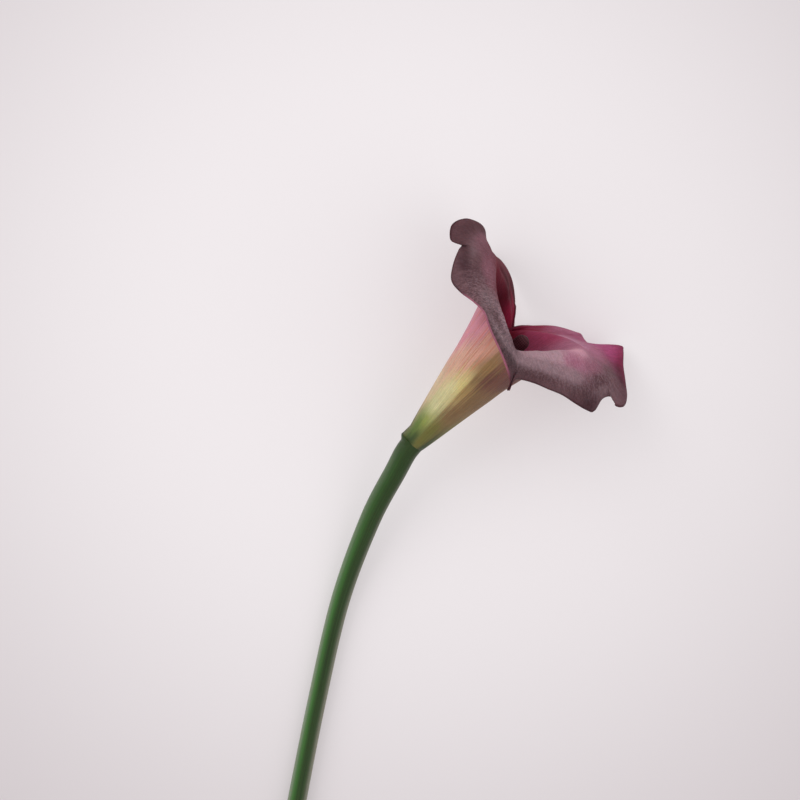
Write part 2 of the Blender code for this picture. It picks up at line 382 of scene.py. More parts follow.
# The table and the light.
FLOOR_SIZE = 16
FLOOR_GLOW = (0, 0.04, 0)  # its palest place, from the point under the camera: a painted pool of light
GLOW_SPAN = (0.08, 0.35)  # from there outwards the painted light fades between these distances
FLOOR_LIT = 0.55  # the share of its tone that answers to the light, which leaves the shadows soft
# the floor glows with this much light of its own, though it is no lamp, which lightens the shadows further
FLOOR_OWN_LIGHT = 0.43
LIGHT_AIM = Vector((0.01, 0.06, 0.03))
SKY = ((1.0, 0.985, 0.99, 1), 0.72)
LAMPS = (
    ("window", (-1.5, 1.1, 1.6), 1.8, 19.0, (1.0, 0.99, 0.98)),
    ("fill", (1.2, -0.6, 1.8), 1.8, 8.0, (1.0, 0.98, 0.99)),
)


def facing_axes():
    across = math.cos(FACING_ELEVATION)
    along = np.array((math.sin(FACING_AZIMUTH) * across, math.cos(FACING_AZIMUTH) * across,
                      math.sin(FACING_ELEVATION)))
    right = np.array((math.cos(FACING_AZIMUTH), -math.sin(FACING_AZIMUTH), 0))
    return along, right, np.cross(right, along)


def unit(vectors):
    return vectors / np.maximum(np.linalg.norm(vectors, axis=-1, keepdims=True), 1e-12)


ALONG, RIGHT, NEAR = facing_axes()
FOOT_DIRECTION = unit(ALONG - TUBE_BEND * 2 / TUBE_LENGTH)


def tube_axis(height):
    height = np.asarray(height, float)[..., None]
    below = np.minimum(height, 0) / TUBE_LENGTH
    return MOUTH_CENTRE + ALONG * height + TUBE_BEND * below * below


def bloom_points(turn, reach, height):
    """Points of the bloom from turns in degrees, reaches and heights."""
    angle = np.radians(turn)[..., None]
    reach = np.asarray(reach, float)[..., None]
    return tube_axis(height) + reach * (np.sin(angle) * RIGHT + np.cos(angle) * NEAR)


def smooth_step(value):
    value = np.clip(value, 0, 1)
    return value * value * (3 - 2 * value)


def smooth_through(rows, places):
    """The rows at these places, 0 at the first row, on smooth curves through all of them."""
    rows = np.asarray(rows, float)
    places = np.asarray(places, float)
    first = np.clip(places.astype(int), 0, len(rows) - 2)
    part = (places - first).reshape(-1, *[1] * (rows.ndim - 1))
    before, start, end, after = (rows[np.clip(first + k, 0, len(rows) - 1)] for k in (-1, 0, 1, 2))
    return (
        before * (-part + 2 * part**2 - part**3) / 2
        + start * (2 - 5 * part**2 + 3 * part**3) / 2
        + end * (part + 4 * part**2 - 3 * part**3) / 2
        + after * (part**3 - part**2) / 2
    )


def wander(values, seed, octaves=3):
    """A soft random line through 0, the same on every run, for values of any shape."""
    random = np.random.default_rng(seed)
    total = np.zeros_like(values, dtype=float)
    for octave in range(octaves):
        for _ in range(3):
            pace = random.uniform(0.6, 1.4) * 2**octave
            total += np.sin(values * pace + random.uniform(0, 2 * math.pi)) / 2**octave / 3
    return total


def column_places():
    """Where along the margin the mesh's columns stand, closer where the veins or the margin spread."""
    places = [0.0]
    stations = np.array(MARGIN)
    points = bloom_points(stations[:, 1], stations[:, 2], stations[:, 3])
    for index in range(len(MARGIN) - 1):
        turn = stations[index + 1, 0] - stations[index, 0]
        length = np.linalg.norm(points[index + 1] - points[index])
        count = math.ceil(max(turn / COLUMN_TURN, length / COLUMN_WIDTH))
        places += [index + (step + 1) / count for step in range(count)]
    return np.array(places)


def calm_margin(places):
    """The margin without its ripples: an average over the stations near each place."""
    total = 0
    for offset in range(-CALM_SPREAD, CALM_SPREAD + 1):
        weight = CALM_SPREAD + 1 - abs(offset)
        total = total + weight * smooth_through(MARGIN, np.clip(places + offset, 0, len(MARGIN) - 1))
    return total / (CALM_SPREAD + 1) ** 2


def sheet_net(places):
    """The veins' guide points as guide, column, xyz, and each column's turn at the throat."""
    vein_turn, *edge = smooth_through(MARGIN, places).T
    calm_vein_turn, *calm = calm_margin(places).T
    calm[0] = calm[0] + vein_turn - calm_vein_turn
    lip_places = np.interp(vein_turn, [row[0] for row in LIP], range(len(LIP)))
    _, lip_reach, lip_height, crown = smooth_through(LIP, lip_places).T
    thickness = np.interp(LAYER_RISE, *zip(*THICKNESS))
    lift = (thickness + LAYER_GAP) * smooth_step((-vein_turn - LAYER_START) / (180 - LAYER_START))
    net = []
    for ring in range(TUBE_RINGS):
        height = -TUBE_LENGTH * (1 - ring / (TUBE_RINGS - 1))
        radius = FOOT_RADIUS + (MOUTH_RADIUS - FOOT_RADIUS) * ring / (TUBE_RINGS - 1)
        net.append(bloom_points(vein_turn, radius + lift, np.full_like(vein_turn, height)))
    net.append(bloom_points(vein_turn, lip_reach, lip_height))
    for share, calmness in LIMB_SPANS:
        turn, reach, height = (e + (c - e) * calmness for e, c in zip(edge, calm))
        net.append(bloom_points(
            vein_turn + (turn - vein_turn) * share,
            lip_reach + (reach - lip_reach) * share,
            lip_height + (height - lip_height) * share + crown * 4 * share * (1 - share),
        ))
    net.append(bloom_points(*edge))
    return np.array(net), vein_turn


def sheet_points():
    """The spathe's middle surface in rows and columns, with each point's turn and share of the way up."""
    places = column_places()
    net, turn = sheet_net(places)
    mouth = TUBE_RINGS - 1
    rows = np.concatenate((
        np.linspace(0, mouth, TUBE_ROWS, endpoint=False),
        np.linspace(mouth, len(net) - 1, LIMB_ROWS),
    ))
    points = smooth_through(net, rows)
    rise = np.broadcast_to((rows / rows[-1])[:, None], points.shape[:2])
    turn = np.broadcast_to(turn[None, :], points.shape[:2])
    return points, turn, rise


def outward(points):
    """The normals of a grid of points, away from the throat."""
    return unit(np.cross(np.gradient(points, axis=1), np.gradient(points, axis=0)))


def vein_relief(turn, rise):
    """Height of the raised veins: broad ones along the tube, fine uneven ones over the limb."""
    on_limb = smooth_step((rise - 0.5) / 0.2)
    total = 0
    kinds = ((TUBE_VEINS, 1 - 0.8 * on_limb, 3), (LIMB_VEINS, on_limb, 5))
    for (spacing, height), share, seed in kinds:
        phase = (turn + spacing * wander(turn / 11, seed)) * 2 * math.pi / spacing
        strength = 0.6 + 0.7 * wander(turn / 7, seed + 1) * wander(rise * 9 + turn / 30, seed + 2)
        total = total + height * share * np.sin(phase) * strength
    return total * smooth_step(rise / 0.15) * (1 - 0.7 * smooth_step((rise - 0.92) / 0.08))


def tone(name):
    """A named colour as linear light, with full alpha."""
    shares = [value / 255 for value in COLOURS[name]]
    return *(v / 12.92 if v <= 0.04045 else ((v + 0.055) / 1.055) ** 2.4 for v in shares), 1


def spread_tints(rows, turn, rise):
    """The colour of every point: the tints of the places round it, weighed by how near they are."""
    total, sum_of_weights = 0, 0
    for place, share, colour in rows:
        across = (turn - place + 180) % 360 - 180
        away = (across / TINT_REACH[0]) ** 2 + ((rise - share) / TINT_REACH[1]) ** 2
        weight = (away + TINT_CORE) ** -TINT_FADE
        total = total + weight[..., None] * np.array(tone(colour))
        sum_of_weights = sum_of_weights + weight
    return total / sum_of_weights[..., None]


def mesh_from_grid_loops(loops, closed):
    """Quads between neighbouring loops of vertex numbers."""
    faces = []
    for low, high in zip(loops, loops[1:]):
        count = len(low)
        for index in range(count if closed else count - 1):
            after = (index + 1) % count
            faces.append((low[index], low[after], high[after], high[index]))
    return faces


def rod_faces(rings, sides):
    """The faces of a rod: quads along it, then a triangle at its foot and one at its top for each side.

    The vertices are the rings' own, then the middle of the foot and the middle of the top.
    """
    numbers = np.arange(rings * sides).reshape(rings, sides).tolist()
    faces = mesh_from_grid_loops(numbers, True)
    foot, top = rings * sides, rings * sides + 1
    for index in range(sides):
        after = (index + 1) % sides
        faces.append((foot, numbers[0][after], numbers[0][index]))
        faces.append((top, numbers[-1][index], numbers[-1][after]))
    return faces


def add_piece(name, points, faces, slots, attributes, materials):
    """A smooth mesh piece that rides on the flower's one body."""
    mesh = bpy.data.meshes.new(name)
    mesh.from_pydata([tuple(point) for point in points], [], faces)
    for finish in materials:
        mesh.materials.append(finish)
    mesh.polygons.foreach_set("material_index", slots)
    for label, values in attributes.items():
        values = np.asarray(values, np.float32)
        kind, field = ("FLOAT", "value") if values.ndim == 1 else ("FLOAT_COLOR", "color")
        mesh.attributes.new(label, kind, "POINT").data.foreach_set(field, values.ravel())
    mesh.shade_smooth()
    piece = bpy.data.objects.new(name, mesh)
    bpy.context.scene.collection.objects.link(piece)
    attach(piece, "root")
    return piece


def nub(along, lean):
    """How far the scar at the joint stands proud, from the way along and the cosine from its middle."""
    (rise_start, rise_end), (fall_start, fall_end) = NUB_SPAN
    swell = smooth_step((along - rise_start) / (rise_end - rise_start))
    swell = swell * (1 - smooth_step((along - fall_start) / (fall_end - fall_start)))
    return NUB_HEIGHT * swell * np.clip(lean, 0, 1) ** 2


def make_spathe(materials):
    """The rolled leaf: an outer and an inner skin of one sheet, joined by a rounded rim."""
    middle, turn, rise = sheet_points()
    veins = vein_relief(turn, rise)
    rolled = MARGIN_ROLL * np.clip((rise - ROLL_START) / (1 - ROLL_START), 0, 1) ** 2
    middle = middle + outward(middle) * (veins + rolled)[..., None]
    normal = outward(middle)
    half = np.interp(rise, *zip(*THICKNESS))[..., None] / 2
    tail = np.exp(-((turn - TAIL_TURN) / TAIL_SPREAD) ** 2) * smooth_step((rise - 0.8) / 0.12)
    half = half * (1 - TAIL_THINNING * tail[..., None])
    count_rows, count_columns = turn.shape
    numbers = np.arange(count_rows * count_columns).reshape(count_rows, count_columns)
    lean = np.cos(np.radians(turn - NUB_TURN))
    outer = middle + normal * (half + nub(rise * 2 * TUBE_LENGTH, lean)[..., None])
    inner = middle - normal * half
    rim = np.concatenate((
        numbers[0, :-1], numbers[:-1, -1], numbers[-1, :0:-1], numbers[:0:-1, 0],
    ))
    edge_way = np.zeros_like(middle)
    across = unit(np.gradient(middle, axis=1))
    up = unit(np.gradient(middle, axis=0))
    edge_way[0] -= up[0]
    edge_way[-1] += up[-1]
    edge_way[:, 0] -= across[:, 0]
    edge_way[:, -1] += across[:, -1]
    rim_points = (middle + unit(edge_way) * half).reshape(-1, 3)[rim]
    points = np.concatenate((outer.reshape(-1, 3), inner.reshape(-1, 3), rim_points))
    points[:, 2] = np.maximum(points[:, 2], TABLE_CLEARANCE)
    size = numbers.size
    rim_numbers = list(range(2 * size, 2 * size + len(rim)))
    outer_faces = mesh_from_grid_loops(numbers.tolist(), False)
    inner_faces = [tuple(size + n for n in reversed(face)) for face in outer_faces]
    rim_faces = mesh_from_grid_loops([rim_numbers, rim.tolist()], True)
    rim_faces += mesh_from_grid_loops([(rim + size).tolist(), rim_numbers], True)
    faces = outer_faces + inner_faces + rim_faces
    slots = [0] * len(outer_faces) + [1] * (len(inner_faces) + len(rim_faces))
    stray = STREAK_WANDER * wander(turn / 2.6, 21, 4) * smooth_step(rise / 0.2)
    outer_tint = spread_tints(OUTER_TINTS, turn + stray, rise).reshape(-1, 4)
    inner_tint = spread_tints(INNER_TINTS, turn + 0.2 * stray, rise).reshape(-1, 4)
    flat_turn, flat_rise, flat_veins = turn.ravel(), rise.ravel(), veins.ravel() / TUBE_VEINS[1]
    rim_tint = np.where(flat_rise[:, None] < FOOT_RIM, outer_tint, inner_tint)[rim]
    attributes = {
        "turn": np.concatenate((flat_turn, flat_turn, flat_turn[rim])) / 180,
        "rise": np.concatenate((flat_rise, flat_rise, flat_rise[rim])),
        "vein": np.concatenate((flat_veins, -flat_veins, np.zeros(len(rim)))),
        "rim": np.concatenate((np.zeros(2 * size), np.ones(len(rim)))),
        "tint": np.concatenate((outer_tint, inner_tint, rim_tint)),
    }
    piece = add_piece("spathe_sheet", points, faces, slots, attributes, materials)
    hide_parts("spathe")
    return piece


def tube_rings(centres, ways, radii, sides):
    """Rings of points square to the ways, as ring, side, xyz, from +X and round by below."""
    down = unit(np.cross(ways, (1, 0, 0)))
    side = unit(np.cross(down, ways))
    angle = 2 * math.pi * np.arange(sides) / sides
    spread = np.cos(angle)[None, :, None] * side[:, None] + np.sin(angle)[None, :, None] * down[:, None]
    return centres[:, None] + spread * np.asarray(radii)[..., None]


def lengths_along(centres):
    """The way along a line of points from its first one."""
    return np.concatenate(([0], np.cumsum(np.linalg.norm(np.diff(centres, axis=0), axis=1))))


def make_stem(materials):
    """The stalk, faintly ribbed, with a slanted cut whose pale core shows."""
    foot = tube_axis(-TUBE_LENGTH)
    heights, top_radii = zip(*STEM_TOP)
    ends = [(*(foot + FOOT_DIRECTION * height), 0) for height in (heights[0], heights[-1])]
    route = np.array(STEM_ROUTE + tuple(ends))
    joint = len(STEM_ROUTE)
    places = np.concatenate((
        np.arange(joint * STEM_STEPS) / STEM_STEPS,
        np.linspace(joint, joint + 1, TOP_STEPS),
    ))
    centres = smooth_through(route[:, :3], places)
    ways = unit(np.gradient(centres, axis=0))
    length = lengths_along(centres)
    along = length - np.interp(joint, places, length) + heights[0]
    lower_radii = [*route[:joint, 3], top_radii[0]]
    upper_radii = np.interp(along, heights, top_radii)
    radii = np.where(places < joint, smooth_through(lower_radii, np.minimum(places, joint)), upper_radii)
    angle = 2 * math.pi * np.arange(STEM_SIDES) / STEM_SIDES
    rib_count, rib_height = RIBS
    relief = rib_height * np.sin(angle * rib_count + wander(length[:, None] * 40, 11))
    relief = relief + OVAL * np.cos(2 * angle)
    relief = relief + nub(along[:, None], -np.cos(angle)) * (along[:, None] < NUB_TOP)
    rings = tube_rings(centres, ways, radii[:, None] + relief, STEM_SIDES)
    rings[0] += ways[0] * ((rings[0] - centres[0])[:, :1] * math.tan(CUT_SLANT))
    cut_rings = [
        centres[0] + (rings[0] - centres[0]) * share + ways[0] * CUT_BULGE * (1 - share)
        for share in CUT_RINGS
    ]
    loops = np.concatenate((cut_rings[::-1], rings))
    points = np.concatenate((loops.reshape(-1, 3), [centres[0] + ways[0] * CUT_BULGE, centres[-1]]))
    points[:, 2] = np.maximum(points[:, 2], TABLE_CLEARANCE)
    faces = rod_faces(len(loops), STEM_SIDES)
    cut_faces = len(CUT_RINGS) * STEM_SIDES
    slots = [1] * cut_faces + [0] * (len(faces) - cut_faces - 2 * STEM_SIDES) + [1, 0] * STEM_SIDES
    ring_length = np.concatenate((np.zeros(len(CUT_RINGS)), length))
    ring_share = np.concatenate((CUT_RINGS[::-1], np.ones(len(length))))
    attributes = {
        "length": np.concatenate((np.repeat(ring_length, STEM_SIDES), [0, length[-1]])) / length[-1],
        "core": np.concatenate((np.repeat(ring_share, STEM_SIDES), [0, 1])),
        "side": np.concatenate((np.tile(np.sin(angle), len(loops)), [0, 0])),
        "around": np.concatenate((np.tile(np.cos(angle), len(loops)), [0, 0])),
    }
    piece = add_piece("stem_stalk", points, faces, slots, attributes, materials)
    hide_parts("stem")
    return piece


def make_spadix(materials):
    """The flower spike, set all over with tiny flowers in spirals."""
    start = tube_axis(-TUBE_LENGTH) + FOOT_DIRECTION * (STEM_TOP[-1][0] + SPADIX_GAP)
    handle = start + FOOT_DIRECTION * SPADIX_STRAIGHT
    part = np.linspace(0, 1, SPADIX_STEPS)[:, None]
    centres = start * (1 - part) ** 2 + handle * 2 * part * (1 - part) + SPADIX_TIP * part**2
    swell = SPADIX_FOOT + (1 - SPADIX_FOOT) * smooth_step(part[:, 0] / SPADIX_SWELL)
    cap = np.radians(np.linspace(0, SPADIX_CAP_END, SPADIX_CAP_STEPS + 1)[1:])
    end_way = unit(SPADIX_TIP - handle)
    centres = np.concatenate((centres, SPADIX_TIP + end_way * SPADIX_RADIUS * np.sin(cap)[:, None]))
    radii = SPADIX_RADIUS * np.concatenate((swell, np.cos(cap)))
    ways = unit(np.gradient(centres, axis=0))
    ways[len(part):] = end_way
    length = lengths_along(centres)
    angle = 2 * math.pi * np.arange(SPADIX_SIDES) / SPADIX_SIDES
    spirals = round(math.pi * SPADIX_RADIUS / FLORET_PITCH)
    row = length[:, None] / FLORET_PITCH * math.pi * FLORET_SLANT
    bumps = np.cos(spirals * angle + row) * np.cos(spirals * angle - row)
    fade = smooth_step(radii / SPADIX_RADIUS / 0.35)[:, None]
    rings = tube_rings(centres, ways, radii[:, None] + FLORET_RELIEF * bumps * fade, SPADIX_SIDES)
    points = np.concatenate((rings.reshape(-1, 3), [centres[0], centres[-1]]))
    faces = rod_faces(len(rings), SPADIX_SIDES)
    attributes = {
        "length": np.concatenate((np.repeat(length, SPADIX_SIDES), [0, length[-1]])) / length[-1],
        "floret": np.concatenate(((bumps * fade).ravel(), [0, 0])),
    }
    piece = add_piece("spadix_spike", points, faces, [0] * len(faces), attributes, materials)
    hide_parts("spadix")
    return piece


class Shading:
    """A node tree that is put together a node at a time."""

    def __init__(self, tree):
        self.tree = tree

    def add(self, kind, settings=None, **inputs):
        """A new node. An input is given by its name, or as i0, i1 and so on by its number."""
        node = self.tree.nodes.new(kind)
        for name, value in (settings or {}).items():
            setattr(node, name, value)
        for name, value in inputs.items():
            numbered = name[0] == "i" and name[1:].isdigit()
            self.feed(node.inputs[int(name[1:]) if numbered else name], value)
        return node

    def feed(self, socket, value):
        if isinstance(value, bpy.types.NodeSocket):
            self.tree.links.new(value, socket)
        else:
            socket.default_value = value

    def attribute(self, name):
        return self.add("ShaderNodeAttribute", {"attribute_name": name}).outputs["Fac"]

    def math(self, operation, *values):
        node = self.add("ShaderNodeMath", {"operation": operation})
        for socket, value in zip(node.inputs, values):
            self.feed(socket, value)
        return node.outputs[0]

    def spread(self, value, low, high, to_low=0.0, to_high=1.0):
        """The value's share of the way from low to high, eased, as a number from to_low to to_high."""
        node = self.add("ShaderNodeMapRange", {"interpolation_type": "SMOOTHSTEP"})
        for name, number in zip(("Value", "From Min", "From Max", "To Min", "To Max"),
                                (value, low, high, to_low, to_high)):
            self.feed(node.inputs[name], number)
        return node.outputs[0]

    def swing(self, value, low, high, strength):
        """A factor round 1 that follows the value, strength below it at low and above it at high."""
        share = self.spread(value, low, high, -1.0, 1.0)
        return self.math("ADD", 1.0, self.math("MULTIPLY", share, strength))

    def mix(self, share, first, second, blend="MIX"):
        node = self.add("ShaderNodeMix", {"data_type": "RGBA", "blend_type": blend})
        self.feed(node.inputs[0], share)
        self.feed(node.inputs[6], first)
        self.feed(node.inputs[7], second)
        return node.outputs[2]

    def vector(self, x, y, z):
        node = self.add("ShaderNodeCombineXYZ")
        for socket, value in zip(node.inputs, (x, y, z)):
            self.feed(socket, value)
        return node.outputs[0]

    def group(self, tree, **inputs):
        node = self.add("ShaderNodeGroup", {"node_tree": tree})
        for name, value in inputs.items():
            self.feed(node.inputs[name.replace("_", " ")], value)
        return node


def new_group(name, inputs, outputs):
    """An empty node group with these sockets: {name: (kind, default)} in and {name: kind} out."""
    tree = bpy.data.node_groups.new(name, "ShaderNodeTree")
    for label, (kind, default) in inputs.items():
        socket = tree.interface.new_socket(label, in_out="INPUT", socket_type="NodeSocket" + kind)
        if default is not None:
            socket.default_value = default
    for label, kind in outputs.items():
        tree.interface.new_socket(label, in_out="OUTPUT", socket_type="NodeSocket" + kind)
    shade = Shading(tree)
    return shade, shade.add("NodeGroupInput").outputs, shade.add("NodeGroupOutput").inputs


def streaks_group():
    """Streaks that run with the tissue: narrow across Place's X, long along its Y."""
    shade, given, out = new_group(
        "tissue_streaks",
        {"Place": ("Vector", None), "Across": ("Float", 100.0), "Lengthwise": ("Float", 3.0)},
        {"Coarse": "Float", "Fine": "Float"},
    )
    stretch = shade.vector(given["Across"], given["Lengthwise"], 1.0)
    place = shade.add("ShaderNodeVectorMath", {"operation": "MULTIPLY"}, i0=given["Place"], i1=stretch)
    coarse = shade.add("ShaderNodeTexNoise", Vector=place.outputs[0], Scale=1.0, Detail=3.0, Roughness=0.6)
    finer = shade.add("ShaderNodeVectorMath", {"operation": "SCALE"}, i0=place.outputs[0], Scale=3.7)
    fine = shade.add("ShaderNodeTexNoise", Vector=finer.outputs[0], Scale=1.0, Detail=2.0, Roughness=0.5)
    shade.feed(out["Coarse"], coarse.outputs["Fac"])
    shade.feed(out["Fine"], fine.outputs["Fac"])
    return shade.tree


def skin_group():
    """Living plant skin: fine cells as a height for bump, a mottle, and a roughness that follows them."""
    shade, given, out = new_group(
        "plant_skin",
        {"Cell Size": ("Float", 0.0004), "Roughness": ("Float", 0.5), "Unevenness": ("Float", 0.08)},
        {"Cells": "Float", "Grain": "Float", "Mottle": "Float", "Roughness": "Float"},
    )
    place = shade.add("ShaderNodeTexCoord").outputs["Object"]
    scale = shade.math("DIVIDE", 1.0, given["Cell Size"])
    cells = shade.add("ShaderNodeTexNoise", Vector=place, Scale=scale, Detail=2.0, Roughness=0.6)
    grain = shade.add("ShaderNodeTexNoise", Vector=place, Scale=1300.0, Detail=2.0, Roughness=0.6)
    mottle = shade.add("ShaderNodeTexNoise", Vector=place, Scale=130.0, Detail=3.0, Roughness=0.55)
    uneven = shade.math("MULTIPLY", shade.math("SUBTRACT", mottle.outputs["Fac"], 0.5), given["Unevenness"])
    shade.feed(out["Cells"], cells.outputs["Fac"])
    shade.feed(out["Grain"], grain.outputs["Fac"])
    shade.feed(out["Mottle"], mottle.outputs["Fac"])
    shade.feed(out["Roughness"], shade.math("ADD", given["Roughness"], uneven))
    return shade.tree


def new_material(name, **constants):
    """A material with one Principled shader, whose constant settings stand on its own sockets."""
    made = bpy.data.materials.new(name)
    made.use_nodes = True
    shader = made.node_tree.nodes["Principled BSDF"]
    for label, value in constants.items():
        shader.inputs[label.replace("_", " ")].default_value = value
    return made, Shading(made.node_tree), shader.inputs


def tissue_colour(shade, lines, surface, streak, mottle):
    """The painted tint with streaks along the veins, painted highlight on the vein tops and painted shade in
    the grooves, and a cloudy, grainy mottle.
    """
    colour = shade.add("ShaderNodeAttribute", {"attribute_name": "tint"}).outputs["Color"]
    parts = (
        shade.swing(lines.outputs["Coarse"], 0.3, 0.7, streak),
        shade.swing(lines.outputs["Fine"], 0.3, 0.7, streak),
        # Painted light and shade on the vein relief: lighter on the raised veins, darker in the grooves
        # between them.
        shade.swing(shade.attribute("vein"), -0.8, 0.8, 0.05),
        shade.swing(surface.outputs["Mottle"], 0.3, 0.7, mottle),
        shade.swing(surface.outputs["Grain"], 0.3, 0.7, mottle),
    )
    factor = parts[0]
    for part in parts[1:]:
        factor = shade.math("MULTIPLY", factor, part)
    return shade.mix(1.0, colour, shade.vector(factor, factor, factor), "MULTIPLY")


def spathe_outer_material(streaks, skin):
    """The tube's waxy outside, streaked along its length, with orange flushes between the streaks."""
    made, shade, shader = new_material(
        "spathe_outside", Sheen_Weight=0.05, Sheen_Roughness=0.4, Sheen_Tint=(1, 0.85, 0.88, 1),
        Subsurface_Weight=0.10, Subsurface_Scale=0.002, Specular_IOR_Level=0.3,
    )
    turn, rise = shade.attribute("turn"), shade.attribute("rise")
    lines = shade.group(streaks, Place=shade.vector(turn, rise, 0.0), Across=52.0, Lengthwise=3.0)
    surface = shade.group(skin, Cell_Size=0.0003, Roughness=0.5)
    colour = tissue_colour(shade, lines, surface, 0.10, 0.04)
    flush = shade.math("MULTIPLY", shade.spread(turn, 0.0, -0.06), shade.spread(rise, 0.25, 0.44))
    flush = shade.math("MULTIPLY", flush, shade.spread(lines.outputs["Coarse"], 0.52, 0.66))
    colour = shade.mix(shade.math("MULTIPLY", flush, 0.55), colour, tone("tube flush"))
    shade.feed(shader["Base Color"], colour)
    shade.feed(shader["Roughness"], surface.outputs["Roughness"])
    height = shade.math("ADD", lines.outputs["Fine"], shade.math("MULTIPLY", surface.outputs["Cells"], 0.25))
    bump = shade.add("ShaderNodeBump", Height=height, Strength=0.3, Distance=0.0002)
    shade.feed(shader["Normal"], bump.outputs[0])
    return made


def spathe_inner_material(streaks, skin):
    """The limb's velvety face: short crepe lines with painted sheen on the near side, and a fine edge with
    painted highlight and shade.
    """
    made, shade, shader = new_material(
        "spathe_inside", Subsurface_Weight=0.10, Subsurface_Scale=0.002, Specular_IOR_Level=0.06,
    )
    turn, rise, rim = (shade.attribute(name) for name in ("turn", "rise", "rim"))
    lines = shade.group(streaks, Place=shade.vector(turn, rise, 3.0), Across=110.0, Lengthwise=20.0)
    surface = shade.group(skin, Cell_Size=0.00035, Roughness=0.62)
    neck = shade.math("MULTIPLY", shade.spread(turn, -0.40, -0.22), shade.spread(turn, 0.10, 0.0))
    neck = shade.math("MULTIPLY", neck, shade.spread(rise, 0.62, 0.70))
    streak = shade.math("ADD", 0.09, shade.math("MULTIPLY", neck, 0.26))
    colour = tissue_colour(shade, lines, surface, streak, 0.06)
    # Painted sheen: a mottled silvery grey laid over the near side of the limb, in place of the velvet's
    # sheen.
    near_side = shade.math("MULTIPLY", shade.spread(turn, -0.50, -0.28), shade.spread(turn, 0.72, 0.50))
    weave = shade.math("MULTIPLY", shade.math("ADD", lines.outputs["Coarse"], surface.outputs["Grain"]), 0.5)
    painted_sheen = shade.math("MULTIPLY", shade.spread(weave, 0.42, 0.62), shade.spread(rise, 0.64, 0.70))
    painted_sheen = shade.math("MULTIPLY", shade.math("MULTIPLY", painted_sheen, near_side), shade.spread(rise, 1.0, 0.86))
    colour = shade.mix(shade.math("MULTIPLY", painted_sheen, 0.16), colour, tone("painted sheen grey"))
    # Painted light on the margin and rim: a pink highlight along the neck and the back wall, painted shade
    # in plum everywhere else.
    edge = shade.math("MAXIMUM", rim, shade.spread(rise, 0.982, 0.998))
    on_neck = shade.math("MULTIPLY", shade.spread(turn, -0.30, -0.24), shade.spread(turn, 0.06, 0.02))
    at_back = shade.math("MULTIPLY", shade.spread(turn, 0.70, 0.78), shade.spread(turn, 0.96, 0.92))
    painted_edge_light = shade.mix(on_neck, tone("plum"), tone("edge pink"))
    painted_edge_light = shade.mix(at_back, painted_edge_light, tone("pink"))
    colour = shade.mix(shade.math("MULTIPLY", edge, 0.6), colour, painted_edge_light)
    shade.feed(shader["Base Color"], colour)
    shade.feed(shader["Roughness"], surface.outputs["Roughness"])
    height = shade.math("ADD", lines.outputs["Fine"], shade.math("MULTIPLY", surface.outputs["Grain"], 0.6))
    bump = shade.add("ShaderNodeBump", Height=height, Strength=0.4, Distance=0.00025)
    shade.feed(shader["Normal"], bump.outputs[0])
    return made


def stem_material(streaks, skin):
    """Smooth green stalk with fine lengthwise fibres, a painted lit left side, and painted rim light on both
    flanks, greyer on the right.
    """
    made, shade, shader = new_material(
        "stem_skin", Sheen_Weight=0.2, Sheen_Roughness=0.25, Sheen_Tint=(0.95, 1.0, 0.9, 1),
        Subsurface_Weight=0.08, Subsurface_Scale=0.002, Specular_IOR_Level=0.2,
    )
    around, length, side = (shade.attribute(name) for name in ("around", "length", "side"))
    lines = shade.group(streaks, Place=shade.vector(around, length, side), Across=16.0, Lengthwise=3.0)
    surface = shade.group(skin, Cell_Size=0.0003, Roughness=0.42)
    fibres = shade.spread(lines.outputs["Coarse"], 0.3, 0.7)
    colour = shade.mix(fibres, tone("stalk shade"), tone("stalk light"))
    # Painted light: the left side, where the light comes from, lighter and greener low down.
    low_down = shade.spread(length, 1.0, 0.6, 0.12, 0.75)
    lit_side = shade.math("MULTIPLY", shade.spread(around, 0.05, -0.6), low_down)
    colour = shade.mix(lit_side, colour, tone("stalk lit green"))
    # Painted rim light: both flanks paler, greener on the left and greyer on the right, as the bright
    # surroundings light them.
    flank = shade.spread(shade.math("ABSOLUTE", side), 0.95, 0.45)
    rim_light_share = shade.math("MULTIPLY", flank, shade.spread(length, 1.0, 0.4, 0.25, 0.9))
    rim_light_colour = shade.mix(shade.spread(around, -0.3, 0.3), tone("rim light green"), tone("rim light grey"))
    colour = shade.mix(rim_light_share, colour, rim_light_colour)
    colour = shade.mix(shade.spread(length, 0.93, 1.0), colour, tone("stalk green"))
    fine = shade.spread(lines.outputs["Fine"], 0.3, 0.7, 0.85, 1.12)
    colour = shade.mix(1.0, colour, shade.vector(fine, fine, fine), "MULTIPLY")
    shade.feed(shader["Base Color"], colour)
    shade.feed(shader["Roughness"], surface.outputs["Roughness"])
    height = shade.math("ADD", lines.outputs["Fine"], shade.math("MULTIPLY", surface.outputs["Cells"], 0.4))
    bump = shade.add("ShaderNodeBump", Height=height, Strength=0.3, Distance=0.0002)
    shade.feed(shader["Normal"], bump.outputs[0])
    return made


def cut_material(skin):
    """The cut face: pale wet pith with a greener ring under the skin and darker vessel ends."""
    made, shade, shader = new_material("stem_cut", Subsurface_Weight=0.15, Subsurface_Scale=0.002)
    place = shade.add("ShaderNodeTexCoord").outputs["Object"]
    vessels = shade.add("ShaderNodeTexVoronoi", Vector=place, Scale=1300.0)
    surface = shade.group(skin, Cell_Size=0.0003, Roughness=0.35)
    colour = shade.mix(shade.spread(shade.attribute("core"), 0.6, 0.95), tone("pith"), tone("pith ring"))
    colour = shade.mix(shade.spread(vessels.outputs["Distance"], 0.25, 0.1), colour, tone("vessel"))
    shade.feed(shader["Base Color"], colour)
    shade.feed(shader["Roughness"], surface.outputs["Roughness"])
    bump = shade.add("ShaderNodeBump", Height=surface.outputs["Cells"], Strength=0.4, Distance=0.0002)
    shade.feed(shader["Normal"], bump.outputs[0])
    return made


